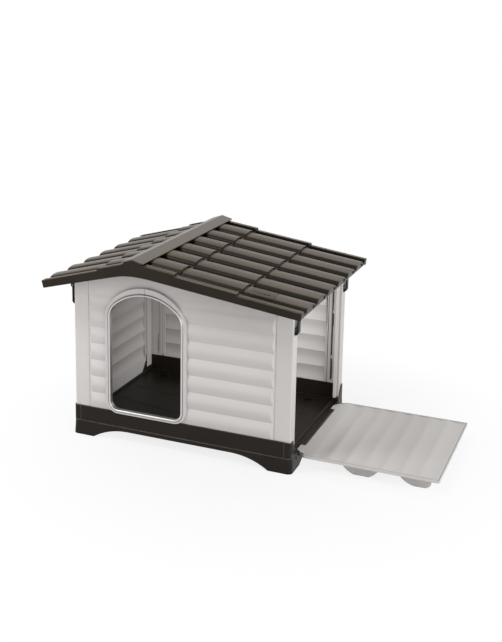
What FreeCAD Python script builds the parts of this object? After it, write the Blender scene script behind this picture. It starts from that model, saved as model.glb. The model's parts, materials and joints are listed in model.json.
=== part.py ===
import FreeCAD, Part
import Sketcher
import math
import os

# A dog kennel with a fold-down side panel and a tiled gable roof.
# All lengths are in millimetres. X runs from the left wall to the open panel,
# Y from the front (the doorway) to the back, Z up from the floor. Each body is
# drawn from the outer face of the left wall and the middle of the depth, and
# its placement moves it to the part's own origin.

DIMENSIONS = {
    # walls
    "wall_width": 760,
    "wall_depth": 554,
    "wall_skin": 5,
    "wall_foot": 102.3,
    "board_pitch": 56.8,
    "board_crown": 5,
    "board_top": 497,
    "board_fade": 7,
    "tongue_gap": 3,
    "tongue_skin": 4,
    "tongue_reach": 8,
    # corner posts
    "post_width": 54,
    "post_depth": 46,
    "post_foot": 62.3,
    "post_leg": 10,
    "post_leg_right": 19,
    "rebate_depth": 8.6,
    "rebate_width": 8,
    # doorway
    "door_centre": 264,
    "door_half_width": 127.5,
    "door_sill": 111,
    "door_spring": 425.5,
    "door_rise": 85,
    "door_shoulder": 60,
    "door_corner": 28,
    "surround_width": 17.5,
    "surround_top": 26,
    "surround_foot": 12.5,
    "surround_proud": 9,
    "trim_skin": 1.2,
    "trim_flange": 4.3,
    # base
    "base_flare": 7.4,
    "ledge_flare": 5,
    "band_flare": 3.2,
    "ledge_height": 50,
    "band_height": 102,
    "floor_height": 45,
    "floor_skin": 4,
    "tray_rim": 10,
    "foot_length": 78,
    "arch_run": 125,
    "arch_rise": 36,
    "drain_radius": 19,
    # hinge of the side panel
    "hinge_x": 760,
    "hinge_z": 42,
    "knuckle_radius": 8,
    "hinge_pin_radius": 4,
    # side panel, drawn open
    "panel_reach": 453,
    "panel_width": 472,
    "panel_top": 50,
    "panel_lip": 8,
    "panel_skin": 4,
    "panel_near": 12,
    "panel_cut_x": 19,
    "panel_cut_y": 21,
    "ear_inset": 62.3,
    "ear_end": 116,
    "leg_inset": 39,
    "leg_skin": 6,
    # roof
    "ridge_x": 257,
    "roof_depth": 720,
    "eave_reach": 51,
    "eave_reach_left": 73,
    "eave_crest": 552,
    "eave_crest_left": 546,
    "eave_foot": 524,
    "eave_foot_left": 517,
    "course_run": 205,
    "course_rise": 27.7,
    "course_rise_left": 56,
    "course_step": 7,
    "tile_pitch": 108,
    "tile_height": 17,
    "tile_crown_radius": 128,
    "tile_crown_half": 28,
    "tile_shoulder_radius": 17,
    "tile_half": 41.2,
    "tile_inset": 3,
    "rail_width": 22,
    "roof_skin": 5,
    "fascia_skin": 5,
    "cap_half": 39,
    "cap_crease": 650,
    "cap_skin": 4.5,
    # roof vent, flush in the front barrel of the right eave course
    "vent_start": 190,
    "vent_length": 80,
    "vent_skin": 2.2,
    "vent_gap": 0.5,
    "shutter_skin": 1.6,
    # roof clips
    "clip_reach": 8,
    "clip_height": 512,
    "clip_width": 20,
    "clip_pin_radius": 2.5,
}


class Size:
    """A length together with the sheet expression that gives it."""

    def __init__(self, value, text):
        self.value = float(value)
        self.text = text

    def __add__(self, other):
        other = sized(other)
        return Size(self.value + other.value, f"({self.text} + {other.text})")

    def __sub__(self, other):
        other = sized(other)
        return Size(self.value - other.value, f"({self.text} - {other.text})")

    def __mul__(self, other):
        other = sized(other)
        return Size(self.value * other.value, f"({self.text} * {other.text})")

    def __truediv__(self, other):
        other = sized(other)
        return Size(self.value / other.value, f"({self.text} / {other.text})")

    def __radd__(self, other):
        return sized(other) + self

    def __rsub__(self, other):
        return sized(other) - self

    def __rmul__(self, other):
        return sized(other) * self

    def __neg__(self):
        return Size(-self.value, f"(0 - {self.text})")


def sized(number):
    """Return a Size, also for a plain number."""
    if isinstance(number, Size):
        return number
    return Size(number, f"{number:.6g}" if number >= 0 else f"(0 - {-number:.6g})")


def root(size):
    """Square root of a Size."""
    return Size(math.sqrt(size.value), f"sqrt({size.text})")


document = FreeCAD.newDocument("dog_kennel")
sheet = document.addObject("Spreadsheet::Sheet", "dims")
for row, (alias, number) in enumerate(DIMENSIONS.items(), start=1):
    sheet.set(f"A{row}", alias)
    sheet.set(f"B{row}", str(number))
    sheet.setAlias(f"B{row}", alias)
document.recompute()


def dim(alias):
    """A driving dimension of the sheet."""
    return Size(DIMENSIONS[alias], f"dims.{alias}")


WIDTH = dim("wall_width")
HALF_DEPTH = dim("wall_depth") / 2
RIDGE = dim("ridge_x")
PANEL_END = dim("hinge_x") + dim("panel_reach")
ORIGIN_X = (PANEL_END - dim("eave_reach_left")) / 2

bodies = []


def bind(feature, name, size):
    """Bind a property of a feature to its sheet expression."""
    feature.setExpression(name, sized(size).text)


def new_body(label):
    """Start a body and place it at the part's origin."""
    body = document.addObject("PartDesign::Body", label)
    body.Label = label
    body.Placement = FreeCAD.Placement(FreeCAD.Vector(-ORIGIN_X.value, 0, 0), FreeCAD.Rotation())
    bind(body, "Placement.Base.x", -ORIGIN_X)
    bodies.append(body)
    return body


def origin_feature(body, role):
    """One of the origin planes or axes of a body."""
    return next(item for item in body.Origin.OriginFeatures if item.Role == role)


def add_outline(sketch, steps):
    """Draw one closed outline. A step is (x, y), or (x, y, radius) for an arc
    that arrives there, with a positive radius where it turns left."""
    corners = [(sized(step[0]), sized(step[1])) for step in steps]
    edges = []
    for index, step in enumerate(steps):
        start = FreeCAD.Vector(corners[index - 1][0].value, corners[index - 1][1].value, 0)
        finish = FreeCAD.Vector(corners[index][0].value, corners[index][1].value, 0)
        if len(step) == 2:
            geometry = sketch.addGeometry(Part.LineSegment(start, finish), False)
            edges.append((geometry, 1, 2, None))
            continue
        radius = sized(step[2])
        chord = finish - start
        half = chord.Length / 2
        side = 1 if radius.value > 0 else -1
        height = math.sqrt(max(radius.value ** 2 - half ** 2, 0))
        left = FreeCAD.Vector(-chord.y, chord.x, 0).normalize()
        centre = start + chord * 0.5 + left * (side * height)
        middle = centre - left * (side * abs(radius.value))
        if side > 0:
            geometry = sketch.addGeometry(Part.ArcOfCircle(start, middle, finish), False)
            edges.append((geometry, 1, 2, radius))
        else:
            geometry = sketch.addGeometry(Part.ArcOfCircle(finish, middle, start), False)
            edges.append((geometry, 2, 1, radius))
    constraints = []
    expressions = []
    for index, (geometry, first, last, radius) in enumerate(edges):
        following = edges[(index + 1) % len(edges)]
        constraints.append(Sketcher.Constraint("Coincident", geometry, last, following[0], following[1]))
        for kind, size in zip(("DistanceX", "DistanceY"), corners[index]):
            constraints.append(Sketcher.Constraint(kind, -1, 1, geometry, last, size.value))
            expressions.append((len(constraints) - 1, size))
        if radius is None:
            continue
        start = corners[index - 1]
        chord_x = (corners[index][0] - start[0]).value
        chord_z = (corners[index][1] - start[1]).value
        if math.hypot(chord_x, chord_z) < 1.999 * abs(radius.value):
            constraints.append(Sketcher.Constraint("Radius", geometry, abs(radius.value)))
            expressions.append((len(constraints) - 1, radius if radius.value > 0 else -radius))
            continue
        across = 1 if abs(chord_x) > abs(chord_z) else 0
        centre = (corners[index][across] + start[across]) / 2
        kind = ("DistanceX", "DistanceY")[across]
        constraints.append(Sketcher.Constraint(kind, -1, 1, geometry, 3, centre.value))
        expressions.append((len(constraints) - 1, centre))
    first_constraint = sketch.ConstraintCount
    sketch.addConstraint(constraints)
    for index, size in expressions:
        if "dims." in size.text:
            sketch.setExpression(f"Constraints[{first_constraint + index}]", size.text)


def add_circle(sketch, x, y, radius):
    """Draw a full circle."""
    x, y, radius = sized(x), sized(y), sized(radius)
    circle = Part.Circle(FreeCAD.Vector(x.value, y.value, 0), FreeCAD.Vector(0, 0, 1), radius.value)
    geometry = sketch.addGeometry(circle, False)
    first_constraint = sketch.ConstraintCount
    sketch.addConstraint([
        Sketcher.Constraint("DistanceX", -1, 1, geometry, 3, x.value),
        Sketcher.Constraint("DistanceY", -1, 1, geometry, 3, y.value),
        Sketcher.Constraint("Radius", geometry, radius.value),
    ])
    for index, size in enumerate((x, y, radius)):
        if "dims." in size.text:
            sketch.setExpression(f"Constraints[{first_constraint + index}]", size.text)


def sketch_on(body, name, plane, place, outlines):
    """A sketch on an origin plane of the body, moved to a coordinate."""
    sketch = body.newObject("Sketcher::SketchObject", name + "_sketch")
    sketch.AttachmentSupport = [(origin_feature(body, plane + "_Plane"), "")]
    sketch.MapMode = "FlatFace"
    offset = -sized(place) if plane == "XZ" else sized(place)
    sketch.AttachmentOffset = FreeCAD.Placement(FreeCAD.Vector(0, 0, offset.value), FreeCAD.Rotation())
    bind(sketch, "AttachmentOffset.Base.z", offset)
    for steps in outlines:
        if steps[0] == "circle":
            add_circle(sketch, *steps[1:])
        else:
            add_outline(sketch, steps)
    return sketch


def pad(body, name, plane, low, high, *outlines):
    """Add a prism between two coordinates along the plane's normal axis."""
    low, high = sized(low), sized(high)
    sketch = sketch_on(body, name, plane, high if plane == "XZ" else low, outlines)
    feature = body.newObject("PartDesign::Pad", name)
    feature.Profile = sketch
    feature.Length = (high - low).value
    bind(feature, "Length", high - low)
    return feature


def pocket(body, name, plane, low, high, *outlines):
    """Cut a prism between two coordinates along the plane's normal axis."""
    low, high = sized(low), sized(high)
    sketch = sketch_on(body, name, plane, low if plane == "XZ" else high, outlines)
    feature = body.newObject("PartDesign::Pocket", name)
    feature.Profile = sketch
    feature.Length = (high - low).value
    bind(feature, "Length", high - low)
    return feature


def tipped_sketch(body, name, place, angle, outlines):
    """A sketch that stands across the slope of the roof. The place is its
    origin in X and Z."""
    sketch = sketch_on(body, name, "YZ", place[0], outlines)
    tip = FreeCAD.Rotation(FreeCAD.Vector(1, 0, 0), angle.value)
    sketch.AttachmentOffset = FreeCAD.Placement(FreeCAD.Vector(0, place[1].value, place[0].value), tip)
    bind(sketch, "AttachmentOffset.Base.y", place[1])
    bind(sketch, "AttachmentOffset.Base.z", place[0])
    bind(sketch, "AttachmentOffset.Rotation.Angle", angle)
    return sketch


def tipped_pad(body, name, place, angle, length, *outlines):
    """Add a prism across the slope of the roof, which runs on in X."""
    sketch = tipped_sketch(body, name, place, angle, outlines)
    feature = body.newObject("PartDesign::Pad", name)
    feature.Profile = sketch
    feature.Length = length.value
    bind(feature, "Length", length)
    return feature


def loft(body, name, plane, low, high, low_outline, high_outline):
    """Add a loft between one outline at each coordinate."""
    first = sketch_on(body, name + "_low", plane, low, [low_outline])
    second = sketch_on(body, name + "_high", plane, high, [high_outline])
    feature = body.newObject("PartDesign::AdditiveLoft", name)
    feature.Profile = first
    feature.Sections = [second]
    feature.Ruled = True
    return feature


def repeat(body, name, features, axis, spacing, count):
    """Repeat features along an axis of the body."""
    pattern = body.newObject("PartDesign::LinearPattern", name)
    pattern.Originals = features
    pattern.Direction = (origin_feature(body, axis + "_Axis"), [""])
    pattern.Length = (spacing * (count - 1)).value
    bind(pattern, "Length", spacing * (count - 1))
    pattern.Occurrences = count
    body.Tip = pattern
    return pattern


def mirror_depth(body, name, features):
    """Mirror features from the front to the back of the kennel."""
    mirrored = body.newObject("PartDesign::Mirrored", name)
    mirrored.Originals = features
    mirrored.MirrorPlane = (origin_feature(body, "XZ_Plane"), [""])
    body.Tip = mirrored
    return mirrored


def rectangle(x_low, y_low, x_high, y_high):
    """Outline of a rectangle."""
    return [(x_low, y_low), (x_high, y_low), (x_high, y_high), (x_low, y_high)]


def many_sided(x, y, radius, sides):
    """Outline of a regular polygon."""
    turns = [math.radians(360 * index / sides) for index in range(sides)]
    return [(x + radius * math.cos(turn), y + radius * math.sin(turn)) for turn in turns]


def rounded(x_low, y_low, x_high, y_high, radius):
    """Outline of a rectangle with round corners."""
    return [
        (x_high - radius, y_low),
        (x_high, y_low + radius, radius),
        (x_high, y_high - radius),
        (x_high - radius, y_high, radius),
        (x_low + radius, y_high),
        (x_low, y_high - radius, radius),
        (x_low, y_low + radius),
        (x_low + radius, y_low, radius),
    ]


def base_plan(grow, radius):
    """Outline of the base in plan, grown beyond the wall faces."""
    return rounded(-sized(grow), -HALF_DEPTH - grow, WIDTH + grow, HALF_DEPTH + grow, sized(radius))


# Lines that several pieces share.

def crest(x_line, side):
    """Height of the tile crests of the lowest course at a given X."""
    if side > 0:
        run_from_eave = WIDTH + dim("eave_reach") - x_line
        return dim("eave_crest") + run_from_eave * dim("course_rise") / dim("course_run")
    run_from_eave = x_line + dim("eave_reach_left")
    return dim("eave_crest_left") + run_from_eave * dim("course_rise_left") / dim("course_run")


def roof_line(x_line, side):
    """Height of the straight line that touches the underside of every course."""
    depth = dim("tile_height") + dim("roof_skin")
    if side > 0:
        climb = (dim("course_rise") + dim("course_step")) / dim("course_run")
        run_from_eave = WIDTH + dim("eave_reach") - x_line
        return dim("eave_crest") - dim("course_step") - depth + run_from_eave * climb
    climb = (dim("course_rise_left") + dim("course_step")) / dim("course_run")
    run_from_eave = x_line + dim("eave_reach_left")
    return dim("eave_crest_left") - dim("course_step") - depth + run_from_eave * climb


def course_rise(side):
    """Climb of one course of tiles."""
    return dim("course_rise" if side > 0 else "course_rise_left")


def slope_length(side):
    """Length of one course along its slope."""
    run, rise = dim("course_run"), course_rise(side)
    return root(run * run + rise * rise)


def slope_angle(side):
    """Tip of a sketch that stands across the slope, in degrees."""
    ratio = course_rise(side) / dim("course_run")
    return Size(math.degrees(math.atan(ratio.value)) * side, f"({side} * atan({ratio.text}))")


def on_slope(place, along, down, side):
    """A place moved down the slope and square down from it, in X and Z."""
    run, rise, length = dim("course_run"), course_rise(side), slope_length(side)
    x = place[0] + (sized(along) * run - sized(down) * rise) / length * side
    return x, place[1] - (sized(along) * rise + sized(down) * run) / length


def door_outline(grow, top=None, foot=None):
    """The arched doorway grown by a distance, in X and Z. The growth at the
    top and at the foot can be given apart."""
    top = grow if top is None else top
    foot = grow if foot is None else foot
    half = dim("door_half_width") + grow
    shoulder = dim("door_shoulder") + grow
    rise = dim("door_rise") + top
    flat_part = half - shoulder
    crown = (flat_part * flat_part + rise * rise - shoulder * shoulder) / (2 * (rise - shoulder))
    share = crown / (crown - shoulder)
    crown_centre = dim("door_spring") + rise - crown
    tangent_x = flat_part * share
    tangent_z = crown_centre + (dim("door_spring") - crown_centre) * share
    corner = dim("door_corner") + grow
    middle = dim("door_centre")
    sill = dim("door_sill") - foot
    return [
        (middle + half - corner, sill),
        (middle + half, sill + corner, corner),
        (middle + half, dim("door_spring")),
        (middle + tangent_x, tangent_z, shoulder),
        (middle - tangent_x, tangent_z, crown),
        (middle - half, dim("door_spring"), shoulder),
        (middle - half, sill + corner),
        (middle - half + corner, sill, corner),
    ]


def base():
    """Moulded tray with skirt, feet, floor, corner sockets and hinge ledge."""
    body = new_body("base")
    ledge = dim("ledge_height")
    floor = dim("floor_height")
    band = dim("band_height")
    rim = dim("tray_rim")
    half = HALF_DEPTH
    post_x, post_y = dim("post_width"), dim("post_depth")
    leg_left, leg_right = dim("post_leg"), dim("post_leg_right")
    socket_gap = 0.4
    socket_floor = dim("post_foot") - 0.3
    kerb_x = WIDTH - 25
    hinge_edge = WIDTH - 12
    block = 47.5
    fin = 16

    loft(body, "skirt", "XY", 0, ledge, base_plan(dim("base_flare"), 16), base_plan(dim("ledge_flare"), 16))
    pad(body, "band", "XY", ledge, band, base_plan(dim("band_flare"), 14))

    tray_left, tray_right = leg_left + socket_gap, WIDTH - leg_right - socket_gap
    pocket(body, "tray", "XY", floor, band, rectangle(tray_left, -half + rim, tray_right, half - rim))
    pocket(body, "tray_side", "XY", floor, band,
           rectangle(tray_right - 5, -half + block, hinge_edge, half - block))

    def side_opening(sill):
        return [
            (-half + block, sill), (half - block, sill), (half - block, socket_floor - 2),
            (half - block + 3, socket_floor), (half - fin, band), (half - fin, band + 1),
            (-half + fin, band + 1), (-half + fin, band),
            (-half + block - 3, socket_floor), (-half + block, socket_floor - 2),
        ]

    pocket(body, "left_opening", "YZ", -20, 25, side_opening(ledge))
    pocket(body, "right_opening", "YZ", kerb_x, WIDTH + 20, side_opening(floor))
    ledge_cut = rectangle(-half + block, dim("hinge_z") - dim("knuckle_radius") - 1, half - block, ledge + 1)
    pocket(body, "hinge_ledge", "YZ", hinge_edge, WIDTH + 20, ledge_cut)

    def socket(x_low, x_high):
        return rectangle(x_low, -half - socket_gap, x_high, -half + post_y + socket_gap)

    sockets = pocket(body, "sockets", "XY", socket_floor, band + 1,
                     socket(sized(-socket_gap), tray_left), socket(tray_right, WIDTH + socket_gap))
    groove_low = -half + dim("tongue_gap") - 0.5
    groove = pocket(body, "wall_groove", "XY", band - 12.5, band + 1,
                    rectangle(leg_left, groove_low, WIDTH - leg_right, groove_low + dim("tongue_skin") + 1))
    mirror_depth(body, "back_sockets", [sockets, groove])
    dip = door_outline(dim("surround_width") + 0.4, dim("surround_top"), dim("surround_foot") + 0.4)
    pocket(body, "door_dip", "XZ", -half - 20, groove_low, dip)

    hollow = pocket(body, "underside", "XY", 0, floor - dim("floor_skin"),
                    rounded(sized(4), -half + 1, hinge_edge - 3, half - 1, sized(12)))
    pocket(body, "hinge_hollow", "XY", 0, dim("hinge_z") - dim("knuckle_radius") - 5,
           rectangle(hinge_edge + 1, -half + block, WIDTH, half - block))
    rim_hollow = pocket(body, "rim_hollow", "XY", floor - 5, band - 17,
                        rectangle(leg_left + 12, -half + 1, WIDTH - leg_right - 12, -half + rim - 3))
    mirror_depth(body, "back_rim_hollow", [rim_hollow])

    foot, run, rise = dim("foot_length") - dim("base_flare"), dim("arch_run"), dim("arch_rise")
    arc = (run * run + rise * rise) / (2 * rise)
    side_rise = dim("hinge_z") - dim("knuckle_radius") - 7
    side_arc = (run * run + side_rise * side_rise) / (2 * side_rise)
    front_arch = [
        (WIDTH - foot, -1), (WIDTH - foot, 0), (WIDTH - foot - run, rise, arc),
        (foot + run, rise), (foot, 0, arc), (foot, -1),
    ]
    arch = pocket(body, "front_arch", "XZ", -half - 20, -half + 2, front_arch)
    mirror_depth(body, "back_arch", [arch])

    def side_arch(height, radius):
        inner = half - foot
        return [
            (inner, -1), (inner, 0), (inner - run, height, radius),
            (-inner + run, height), (-inner, 0, radius), (-inner, -1),
        ]

    pocket(body, "left_arch", "YZ", -20, 5, side_arch(rise, arc))
    pocket(body, "right_arch", "YZ", hinge_edge - 4, WIDTH + 20, side_arch(side_rise, side_arc))

    drain_y = half - 61
    for name, drain_x in (("left", sized(88)), ("right", WIDTH - 102)):
        radius = dim("drain_radius")
        pocket(body, f"drain_seat_{name}", "XY", floor - 2, floor + 1, ("circle", drain_x, drain_y, radius + 0.5))
        pocket(body, f"drain_hole_{name}", "XY", floor - 10, floor, ("circle", drain_x, drain_y, radius - 5))

    ribs = [rectangle(x - 1.5, -half + 10, x + 1.5, half - 10) for x in (190, 380, 570)]
    pad(body, "cross_ribs", "XY", rise, floor - 3, *ribs)
    long_rib = pad(body, "long_rib", "XY", rise, floor - 3, rectangle(10, 88.5, hinge_edge - 5, 91.5))
    mirror_depth(body, "front_long_rib", [long_rib])

    pad(body, "kerb", "XY", floor - 1, floor + 5,
        rectangle(kerb_x - 4, -half + block, kerb_x + 3, half - block))
    axis_x, axis_z, knuckle_radius = dim("hinge_x"), dim("hinge_z"), dim("knuckle_radius")
    knuckle_side = [
        (axis_x + knuckle_radius, axis_z), (axis_x - knuckle_radius, axis_z, knuckle_radius),
        (axis_x - knuckle_radius, axis_z - 12), (axis_x + knuckle_radius, axis_z - 12),
    ]
    knuckle = pad(body, "knuckle", "XZ", -half + 43, -half + dim("ear_inset") - 0.5, knuckle_side)
    pin_hole = pocket(body, "pin_hole", "XZ", -half + 38, -half + dim("ear_inset"),
                      ("circle", axis_x, axis_z, dim("hinge_pin_radius") + 0.05))
    mirror_depth(body, "back_knuckle", [knuckle, pin_hole])
    return body


def wall(label, outward, doorway):
    """Front or back wall: a skin with crowned boards, a gable and tongues."""
    body = new_body(label)
    skin, crown = dim("wall_skin"), dim("board_crown")
    left, right = dim("post_width") + 0.5, WIDTH - dim("post_width") - 0.5
    foot = dim("wall_foot")

    def span(name, feature, near, far, *outlines):
        """A prism at two depths, counted inward from the wall's outer face."""
        if outward < 0:
            return feature(body, name, "XZ", -HALF_DEPTH + near, -HALF_DEPTH + far, *outlines)
        return feature(body, name, "XZ", HALF_DEPTH - far, HALF_DEPTH - near, *outlines)

    def at_depth(depth):
        return (HALF_DEPTH - depth) * outward

    gable = [
        (left, foot), (right, foot), (right, roof_line(right, 1) - 0.6),
        (RIDGE, roof_line(RIDGE, 1) - 0.6), (left, roof_line(left, -1) - 0.6),
    ]
    span("plate", pad, 0, skin, gable)
    field_low, field_high = left + 4, right - 4
    fade = dim("board_fade")
    bottom = dim("board_top") - dim("board_pitch") * 7
    field = [
        (field_low, at_depth(1)), (field_low, at_depth(0)), (field_low + fade, at_depth(-crown)),
        (field_high - fade, at_depth(-crown)), (field_high, at_depth(0)), (field_high, at_depth(1)),
    ]
    if outward > 0:
        field = field[::-1]
    pad(body, "board_field", "XY", foot, dim("board_top"), field)
    pitch = dim("board_pitch")
    radius = (pitch * pitch / 4 + crown * crown) / (2 * crown)
    turn = -outward
    seam = [
        (at_depth(-crown), bottom - pitch / 2),
        (at_depth(0), bottom, -radius * turn),
        (at_depth(-crown), bottom + pitch / 2, -radius * turn),
        (at_depth(-crown - 1), bottom + pitch / 2),
        (at_depth(-crown - 1), bottom - pitch / 2),
    ]
    seam_cut = pocket(body, "board_seam", "YZ", field_low - 1, field_high + 1, seam)
    repeat(body, "board_seams", [seam_cut], "Z", pitch, 8)
    dish = [(at_depth(skin), bottom), (at_depth(skin), bottom + pitch, -radius * turn)]
    dish_cut = pocket(body, "board_dish", "YZ", field_low + fade, field_high - fade, dish)
    repeat(body, "board_dishes", [dish_cut], "Z", pitch, 7)
    span("foot_tongue", pad, dim("tongue_gap"), dim("tongue_gap") + dim("tongue_skin"),
         rectangle(left + 4, foot - 11, right - 4, foot + 1))
    reach = dim("tongue_reach")
    span("side_tongues", pad, dim("tongue_gap"), dim("tongue_gap") + dim("tongue_skin"),
         rectangle(left - reach, foot + 8, left + 6, 500),
         rectangle(right - 6, foot + 8, right + reach, 500))
    if doorway:
        span("surround", pad, -dim("surround_proud"), skin,
             door_outline(dim("surround_width"), dim("surround_top"), dim("surround_foot")))
        span("doorway", pocket, -60, 60, door_outline(dim("trim_skin") + 0.3))
    return body


def door_trim():
    """Bright metal channel that grips the edge of the doorway."""
    body = new_body("door_trim")
    skin = dim("trim_skin")
    proud, inside = dim("surround_proud") + 0.2, dim("wall_skin") + 0.2
    outer = -HALF_DEPTH - proud
    inner = -HALF_DEPTH + inside
    pad(body, "web", "XZ", outer - skin, inner + skin, door_outline(skin), door_outline(sized(0)))
    pad(body, "front_flange", "XZ", outer - skin, outer, door_outline(dim("trim_flange")), door_outline(sized(0)))
    pad(body, "back_flange", "XZ", inner, inner + skin, door_outline(dim("trim_flange")), door_outline(sized(0)))
    top = dim("door_spring") + dim("door_rise")
    pocket(body, "joint", "XZ", outer - 5, inner + 5,
           rectangle(dim("door_centre") - 0.4, top - 5, dim("door_centre") + 0.4, top + 12))
    return body


def corner_plan(steps, side, end):
    """Place an outline drawn inward from the front left corner of the walls."""
    placed = []
    for step in steps:
        x = WIDTH - step[0] if side > 0 else sized(step[0])
        placed.append((x, (HALF_DEPTH - step[1]) * end) + tuple(step[2:]))
    if side * end < 0:
        return placed if side < 0 else backward(placed)
    return placed if side > 0 else backward(placed)


def backward(steps):
    """The same outline in the opposite order, for one that was mirrored."""
    turned = []
    for index in reversed(range(len(steps))):
        following = steps[(index + 1) % len(steps)]
        turned.append(steps[index][:2] + tuple(following[2:]))
    return turned


def post(label, side, end):
    """Corner post with grooves for the walls. side is 1 at the right, -1 at
    the left, and end is -1 at the front, 1 at the back."""
    body = new_body(label)
    width, depth = dim("post_width"), dim("post_depth")
    foot = dim("post_foot")
    top = roof_line(WIDTH if side > 0 else sized(0), side) - 1
    corner = 4

    def shape(feature, name, low, high, steps):
        return feature(body, name, "XY", low, high, corner_plan(steps, side, end))

    leg = dim("post_leg")
    side_leg = dim("post_leg_right" if side > 0 else "post_leg")
    section = [
        (width, 0), (width, leg), (side_leg, leg), (side_leg, depth), (0, depth), (0, corner), (corner, 0, corner),
    ]
    shape(pad, "column", foot, top, section)
    groove_low = dim("tongue_gap") - 0.5
    groove_high = dim("tongue_gap") + dim("tongue_skin") + 0.5
    deep = dim("tongue_reach") + 1
    shape(pocket, "wall_groove", foot, top, rectangle(width - deep, groove_low, width + 1, groove_high))
    above = dim("wall_foot")
    shape(pocket, "rim_seat", foot - 1, above, rectangle(side_leg, -1, width + 1, leg + 1))
    shape(pad, "foot_tongue", above - 11, above + 1,
          rectangle(side_leg - 1, dim("tongue_gap"), width - deep - 0.5, dim("tongue_gap") + dim("tongue_skin")))
    if side > 0:
        shape(pocket, "rebate", foot, top,
              rectangle(-1, depth - dim("rebate_width"), dim("rebate_depth"), depth + 1))
    else:
        shape(pocket, "side_groove", foot, top, rectangle(groove_low, depth - deep, groove_high, depth + 1))
    slot = 37
    shape(pocket, "inner_slot", 112, top, rectangle(slot, leg - 2, slot + 6, leg + 1))
    window = rectangle(slot - 2, leg - 4, slot + 6, leg + 1)
    shape(pocket, "lower_window", 120, 184, window)
    shape(pocket, "upper_window", 310, 371, window)
    shape(pocket, "clip_catch", 444, 472, rectangle(-1, 8, 7, 31))
    return body


def side_wall_outline(low, high, foot, top, cut):
    """Outline of a side wall in Y and Z with its lower corners cut off."""
    return [
        (low + cut, foot), (high - cut, foot), (high, foot + cut), (high, top), (low, top), (low, foot + cut),
    ]


def left_wall():
    """Fixed side wall with boards, held in the grooves of the left posts."""
    body = new_body("left_wall")
    skin, crown, pitch = dim("wall_skin"), dim("board_crown"), dim("board_pitch")
    low, high = -HALF_DEPTH + dim("post_depth") + 0.5, HALF_DEPTH - dim("post_depth") - 0.5
    foot, top = dim("ledge_height") + 0.3, roof_line(sized(0), -1) - 18
    pad(body, "plate", "YZ", 0, skin, side_wall_outline(low, high, foot, top, 28))
    field_low, field_high, fade = low + 4, high - 4, dim("board_fade")
    boards_foot = dim("board_top") - pitch * 7
    field = [
        (1, field_low), (1, field_high), (0, field_high), (-crown, field_high - fade),
        (-crown, field_low + fade), (0, field_low),
    ]
    pad(body, "board_field", "XY", boards_foot, dim("board_top"), field)
    radius = (pitch * pitch / 4 + crown * crown) / (2 * crown)
    seam = [
        (-crown - 1, boards_foot - pitch / 2), (-crown, boards_foot - pitch / 2),
        (0, boards_foot, -radius), (-crown, boards_foot + pitch / 2, -radius), (-crown - 1, boards_foot + pitch / 2),
    ]
    seam_cut = pocket(body, "board_seam", "XZ", field_low - 1, field_high + 1, seam)
    repeat(body, "board_seams", [seam_cut], "Z", pitch, 8)
    dish_cut = pocket(body, "board_dish", "XZ", field_low + fade, field_high - fade,
                      [(skin, boards_foot + pitch), (skin, boards_foot, radius)])
    repeat(body, "board_dishes", [dish_cut], "Z", pitch, 7)
    tongue = dim("tongue_gap"), dim("tongue_gap") + dim("tongue_skin")
    reach = dim("tongue_reach")
    pad(body, "side_tongues", "YZ", tongue[0], tongue[1],
        rectangle(low - reach, foot + 60, low + 8, top - 5),
        rectangle(high - 8, foot + 60, high + reach, top - 5))
    return body


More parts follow.
